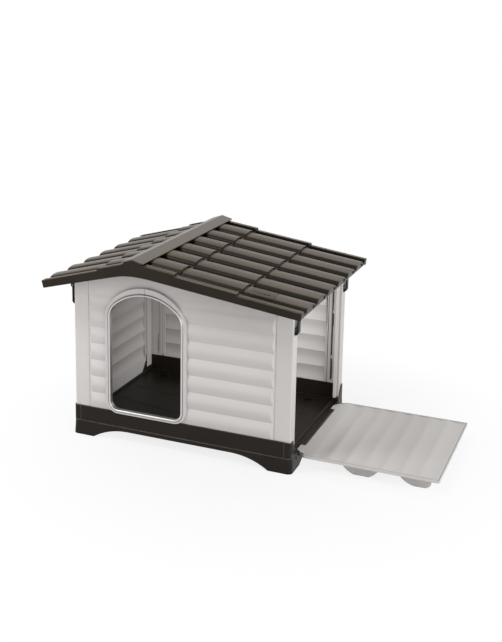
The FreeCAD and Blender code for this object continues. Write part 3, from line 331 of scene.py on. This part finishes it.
def arc_points(centre, radius, start, end, count):
    """Points along an arc, in degrees, both ends included."""
    turns = [math.radians(start + (end - start) * index / count) for index in range(count + 1)]
    return [(centre[0] + radius * math.cos(turn), centre[1] + radius * math.sin(turn))
            for turn in turns]


def door_path(grow):
    """The doorway's outline grown by a distance, in X and Z."""
    middle, spring, sill = -306, 425.5, 111 - grow
    half, shoulder, rise, corner = 127.5 + grow, 60 + grow, 85 + grow, 28 + grow
    corner_steps, shoulder_steps, crown_steps = 6, 8, 16
    flat = half - shoulder
    crown = (flat * flat + rise * rise - shoulder * shoulder) / (2 * (rise - shoulder))
    crown_z = spring + rise - crown
    turn = math.degrees(math.atan2(spring - crown_z, flat))
    return (
        arc_points((middle + half - corner, sill + corner), corner, -90, 0, corner_steps)
        + arc_points((middle + flat, spring), shoulder, 0, turn, shoulder_steps)
        + arc_points((middle, crown_z), crown, turn, 180 - turn, crown_steps)[1:]
        + arc_points((middle - flat, spring), shoulder, 180 - turn, 180, shoulder_steps)[1:]
        + arc_points((middle - half + corner, sill + corner), corner, 180, 270, corner_steps)
    )


def door_ring(name, inner, outer, face, height, material):
    """Crowned ring round the doorway between two growths, standing on a face."""
    steps = 6
    points, faces = [], []
    for step in range(steps + 1):
        share = step / steps
        rise = height * math.sqrt(max(0.0, 1 - (2 * share - 1) ** 2))
        points += [(x, face - rise, z) for x, z in door_path(inner + (outer - inner) * share)]
    count = len(points) // (steps + 1)
    for step in range(steps):
        low, high = step * count, (step + 1) * count
        for index in range(count):
            after = (index + 1) % count
            faces.append((low + index, high + index, high + after, low + after))
    new_piece(name, points, faces, material, "kennel", smooth=True)


def corner_cover(name, x_side, y_side):
    """Upper corner of the base's band, wrapped round the foot of a post."""
    band_proud, post_gap = 3.35, 0.3
    radius, run = 8.6, 24
    low, high = 50.2, 102.15
    side_face = RIGHT_FACE if x_side > 0 else LEFT_FACE
    edge_x, edge_y = side_face + band_proud, END_FACE + band_proud
    inner_x, inner_y = side_face + post_gap, END_FACE + post_gap
    rounded = arc_points((edge_y - radius, edge_x - radius), radius, 0, 90, 6)
    plan = [(edge_x - run, edge_y)] + [(x, y) for y, x in rounded]
    plan += [(edge_x, edge_y - run), (inner_x, edge_y - run),
             (inner_x, inner_y), (edge_x - run, inner_y)]
    points = [(x_side * x, y_side * y, z) for z in (low, high) for x, y in plan]
    faces = prism_faces(len(plan), mirrored=x_side * y_side < 0)
    new_piece(name, points, faces, base_plastic, "kennel")


def corner_web(name, y_side):
    """Web of the base behind a cut lower corner of the left wall."""
    outer, inner = -564.6, -561.6
    plan = [(198, 49), (232, 49), (232, 86), (226, 86)]
    points = [(x, y_side * y, z) for x in (outer, inner) for y, z in plan]
    faces = prism_faces(len(plan), mirrored=y_side < 0)
    new_piece(name, points, faces, base_plastic, "kennel")


def post_lines(corner):
    """Dark strips in lengths in a right post's inner slot, as painted shadow, and the seam at
    its wall.
    """
    y_side = 1 if corner.startswith("back") else -1

    def strip(name, across, inwards, low, high):
        """A strip between two pairs of distances from the post's outer corner."""
        xs = sorted(RIGHT_FACE - value for value in across)
        ys = sorted(y_side * (END_FACE - value) for value in inwards)
        block(name, (xs[0], ys[0], low), (xs[1], ys[1], high), shade_and_joint_plastic)

    lengths = [(113, 192), (204, 358), (370, 449), (461, 508)]
    # Painted shadow in the slot: dark strips in lengths.
    for number, (low, high) in enumerate(lengths, start=1):
        name = "slot_shadow_%s_%d" % (corner, number)
        strip(name, (37.2, 42.8), (POST_LEG - 1.9, POST_LEG - 0.6), low, high)
    strip("wall_seam_" + corner, (53.2, 54.8), (POST_LEG - 3, POST_LEG + 0.2), 104, 508)


def rim_groove_shadow():
    """Dark strip along the rim of the side panel, round three sides, as painted shadow of a
    fine groove.
    """
    near, far, side, width = 224, 640.2, 231.8, 1.8
    low, high = 49.7, 50.13
    outer = [(near, -side), (far, -side), (far, side), (near, side)]
    inner = [(near, width - side), (far - width, width - side),
             (far - width, side - width), (near, side - width)]
    points = [(x, y, z) for z in (low, high) for x, y in outer + inner]
    faces = [(4, 0, 8, 12), (3, 7, 15, 11)]
    for start in range(3):
        a, b, c, d = start, start + 1, start + 5, start + 4
        faces += [(a + 8, b + 8, c + 8, d + 8), (d, c, b, a),
                  (a, b, b + 8, a + 8), (c, d, d + 8, c + 8)]
    new_piece("panel_rim_groove_shadow", points, faces, groove_shadow_plastic, "side_panel")


def floor_bead(name, depth, bow):
    """Low bead moulded across the floor in a shallow curve, in metres."""
    curve = bpy.data.curves.new(name, "CURVE")
    curve.dimensions = "3D"
    curve.bevel_depth = 0.0022
    curve.bevel_resolution = 2
    curve.use_fill_caps = True
    spline = curve.splines.new("NURBS")
    spline.points.add(4)
    start, end, height = -0.535, 0.135, 0.0438
    for index, point in enumerate(spline.points):
        share = index / 4
        along = 2 * share - 1
        across = depth - bow * (1 - along * along)
        point.co = (start + (end - start) * share, across, height, 1)
    spline.order_u = 3
    spline.use_endpoint_u = True
    curve.materials.append(base_plastic)
    piece = bpy.data.objects.new(name, curve)
    bpy.context.scene.collection.objects.link(piece)
    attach(piece, "kennel")


def seen_ray(tree):
    """1 for camera, glossy and transmission rays, 0 for the others."""
    path = tree.nodes.new("ShaderNodeLightPath").outputs
    direct = combine(tree, "MAXIMUM", path["Is Camera Ray"], path["Is Glossy Ray"])
    return combine(tree, "MAXIMUM", direct, path["Is Transmission Ray"])


def studio_floor():
    """Wide pale floor, plain white to the camera away from the kennel's shadow."""
    mesh = bpy.data.meshes.new("floor")
    grid = bmesh.new()
    bmesh.ops.create_grid(grid, x_segments=1, y_segments=1, size=30)
    grid.to_mesh(mesh)
    grid.free()
    floor = bpy.data.objects.new("floor", mesh)
    bpy.context.scene.collection.objects.link(floor)
    material, tree, shader = new_material("floor_white")
    shader.inputs["Base Color"].default_value = (0.92, 0.92, 0.92, 1)
    shader.inputs["Roughness"].default_value = 0.9
    shader.inputs["Specular IOR Level"].default_value = 0.1
    white = tree.nodes.new("ShaderNodeEmission")
    white.inputs["Color"].default_value = PLAIN_WHITE
    white.inputs["Strength"].default_value = 1.0

    # The white covers most of the floor's own shading near the kennel, and all of it
    # farther out.
    coordinates = tree.nodes.new("ShaderNodeTexCoord")
    distance = tree.nodes.new("ShaderNodeVectorMath")
    distance.operation = "LENGTH"
    tree.links.new(coordinates.outputs["Object"], distance.inputs[0])
    reach = map_range(tree, distance.outputs["Value"], low=0.45, high=0.95, to_low=0.82)
    share = combine(tree, "MULTIPLY", reach.outputs["Result"], seen_ray(tree))
    mix = tree.nodes.new("ShaderNodeMixShader")
    tree.links.new(share, mix.inputs["Fac"])
    tree.links.new(shader.outputs["BSDF"], mix.inputs[1])
    tree.links.new(white.outputs["Emission"], mix.inputs[2])
    output = find_node(tree, "OUTPUT_MATERIAL")
    tree.links.new(mix.outputs["Shader"], output.inputs["Surface"])
    mesh.materials.append(material)


def area_light(name, place, aim, size, power):
    """A soft square lamp. The small ones leave no reflection."""
    lamp = bpy.data.lights.new(name, "AREA")
    lamp.shape = "SQUARE"
    lamp.size = size
    lamp.energy = power
    holder = bpy.data.objects.new(name, lamp)
    holder.location = place
    facing = (Vector(aim) - Vector(place)).to_track_quat("-Z", "Y")
    holder.rotation_euler = facing.to_euler()
    holder.visible_camera = False
    holder.visible_glossy = size > 1
    bpy.context.scene.collection.objects.link(holder)


def white_world(strength):
    """White surroundings, plain white to the camera."""
    world = bpy.data.worlds.new("studio")
    world.use_nodes = True
    tree = world.node_tree
    tree.nodes.clear()
    output = tree.nodes.new("ShaderNodeOutputWorld")
    seen = tree.nodes.new("ShaderNodeBackground")
    light = tree.nodes.new("ShaderNodeBackground")
    seen.inputs["Color"].default_value = PLAIN_WHITE
    seen.inputs["Strength"].default_value = 1.0
    light.inputs["Color"].default_value = PLAIN_WHITE
    light.inputs["Strength"].default_value = strength
    mix = tree.nodes.new("ShaderNodeMixShader")
    tree.links.new(seen_ray(tree), mix.inputs["Fac"])
    tree.links.new(light.outputs["Background"], mix.inputs[1])
    tree.links.new(seen.outputs["Background"], mix.inputs[2])
    tree.links.new(mix.outputs["Shader"], output.inputs["Surface"])
    bpy.context.scene.world = world


def photo_camera():
    """Camera at the photograph's viewing angle."""
    azimuth, elevation, tilt = 22.882, 12.328, 0.704
    data = bpy.data.cameras.new("photo_camera")
    data.sensor_width = 36
    data.lens = 58.533
    data.shift_x = 0.0498
    data.shift_y = -0.1604
    camera = bpy.data.objects.new("photo_camera", data)
    camera.location = (1.1419, -3.1194, 1.4624)
    turn = Matrix.Rotation(math.radians(azimuth), 3, "Z")
    tip = Matrix.Rotation(math.radians(90 - elevation), 3, "X")
    roll = Matrix.Rotation(math.radians(tilt), 3, "Z")
    camera.rotation_euler = (turn @ tip @ roll).to_euler()
    bpy.context.scene.collection.objects.link(camera)
    bpy.context.scene.camera = camera


# Finishes

# The worn plastics below get painted shade in their hollows, and their edges are painted
# lighter as wear and as a painted highlight.
wall_plastic = worn_plastic_with_painted_light(
    "wall_plastic", WALL_COLOUR, roughness=0.42, grain=0.12, mottle=0.012, specular=0.4,
    edge_colour=(0.80, 0.78, 0.765), edge_width=0.003, hollow_reach=0.010, hollow_share=0.62)
# Painted light on the walls: up-facing board faces are paler and down-facing ones darker.
paint_light_from_above(wall_plastic, steep=-0.16, level=0.16, steep_share=0.91, level_share=1.05)
panel_plastic = worn_plastic_with_painted_light(
    "panel_plastic", PANEL_COLOUR, roughness=0.40, grain=0.12, mottle=0.012, specular=0.4,
    edge_colour=(0.76, 0.74, 0.72), edge_width=0.003, hollow_reach=0.008, hollow_share=0.70)
# Dark plastic for the painted shadow in the post slots and for the dark seams at joints.
shade_and_joint_plastic = moulded_plastic(
    "shade_and_joint_plastic", SHADE_AND_JOINT_COLOUR, roughness=0.6, grain=0.12, mottle=0.10, specular=0.2)
# Darker panel colour for the painted groove shadow along the panel's rim.
groove_shadow_plastic = moulded_plastic(
    "groove_shadow_plastic", [channel * 0.42 for channel in PANEL_COLOUR],
    roughness=0.5, grain=0.12, mottle=0.05, specular=0.3)
# On the roof the painted shade reaches far and darkens the barrels' flanks.
roof_plastic = worn_plastic_with_painted_light(
    "roof_plastic", ROOF_COLOUR, roughness=0.30, grain=0.06, mottle=0.15, specular=0.13,
    edge_colour=(0.30, 0.255, 0.205), edge_width=0.003, hollow_reach=0.045, hollow_share=0.12)
vent_plastic = moulded_plastic(
    "vent_plastic", ROOF_COLOUR, roughness=0.42, grain=0.06, mottle=0.15, specular=0.08)
# Painted highlight on the crests of the roof and the vent, and painted shade on their steep
# flanks.
for roofing in [roof_plastic, vent_plastic]:
    paint_light_from_above(roofing, steep=0.80, level=0.94, steep_share=0.80, level_share=3.9)
ridge_plastic = worn_plastic_with_painted_light(
    "ridge_plastic", RIDGE_COLOUR, roughness=0.34, grain=0.08, mottle=0.04, specular=0.25,
    edge_colour=(0.24, 0.21, 0.18), edge_width=0.003, hollow_reach=0.012, hollow_share=0.6)
base_plastic = worn_plastic_with_painted_light(
    "base_plastic", BASE_COLOUR, roughness=0.34, grain=0.10, mottle=0.10, specular=0.12,
    edge_colour=(0.30, 0.27, 0.24), edge_width=0.004, hollow_reach=0.012, hollow_share=0.5)
clip_plastic = worn_plastic_with_painted_light(
    "clip_plastic", CLIP_COLOUR, roughness=0.45, grain=0.2, mottle=0.05, specular=0.22,
    edge_colour=(0.05, 0.045, 0.04), edge_width=0.001, hollow_reach=0.004, hollow_share=0.7)
trim_metal = rolled_metal("trim_metal", TRIM_COLOUR, roughness=0.40)
pin_metal = rolled_metal("pin_metal", PIN_COLOUR, roughness=0.35)

# Shells in place of the plain solids

for name in ["front_wall", "back_wall", "left_wall"] + ["post_" + corner for corner in CORNERS]:
    shell(name, wall_plastic, WALL_EDGE)
shell("side_panel", panel_plastic, WALL_EDGE, soften_boards)
for name in ["roof_left", "roof_right"]:
    shell(name, roof_plastic, ROOF_EDGE)
shell("vent_grille", vent_plastic, VENT_EDGE)
shell("ridge_cap", ridge_plastic, ROOF_EDGE)
shell("base", base_plastic, BASE_EDGE)
for name in ["threshold_bar", "hinge_pin_front", "hinge_pin_back"]:
    shell(name, base_plastic, SMALL_EDGE)
for name in ["clip_" + corner for corner in CORNERS]:
    shell(name, clip_plastic, SMALL_EDGE)
for name in ["vent_shutter", "drain_plug_left", "drain_plug_right"]:
    shell(name, clip_plastic, SMALL_EDGE)
for corner in CORNERS:
    shell("clip_pin_" + corner, pin_metal, SMALL_EDGE)
shell("door_trim", trim_metal, SMALL_EDGE)

# Added pieces

door_ring("trim_inner_bead", inner=-0.6, outer=5.4, face=-287.2, height=1.7,
          material=trim_metal)
# Painted shadow: a dark strip in the gap between the trim's two beads.
door_ring("trim_gap_shadow", inner=5.3, outer=6.9, face=-286.0, height=0.35,
          material=clip_plastic)
door_ring("trim_outer_bead", inner=6.8, outer=8.8, face=-286.0, height=1.1,
          material=trim_metal)
corner_cover("corner_cover_front_right", x_side=1, y_side=-1)
corner_cover("corner_cover_back_right", x_side=1, y_side=1)
corner_cover("corner_cover_front_left", x_side=-1, y_side=-1)
corner_cover("corner_cover_back_left", x_side=-1, y_side=1)
block("ridge_web", (-314, -351, 606), (-312, 351, 640), roof_plastic)
block("trim_seam", (-306.4, -289.0, 509.6), (-305.7, -287.0, 519.4), shade_and_joint_plastic)
block("surround_seam", (-306.4, -286.15, 519.6), (-305.7, -285.0, 535.5),
      shade_and_joint_plastic)
post_lines("front_right")
post_lines("back_right")
rim_groove_shadow()
corner_web("corner_web_front", y_side=-1)
corner_web("corner_web_back", y_side=1)
floor_bead("floor_bead_back", depth=0.083, bow=0.040)
floor_bead("floor_bead_middle", depth=-0.037, bow=0.052)

# Stage

studio_floor()
white_world(strength=0.29)
area_light("key", (-2.0, -2.1, 4.0), (0, 0, 0.3), size=1.2, power=63)
area_light("fill", (3.4, -1.5, 1.3), (0, 0, 0.3), size=2.0, power=72)
area_light("left", (-1.15, -0.95, 0.6), (-0.56, -0.27, 0.40), size=0.5, power=3.2)
area_light("top", (0.4, 1.8, 3.0), (0, 0, 0.4), size=2.0, power=20)
area_light("cabin", (-0.04, -0.08, 0.46), (0.02, 0.2, 0.25), size=0.1, power=0.9)
photo_camera()
bpy.context.scene.view_settings.view_transform = "Standard"
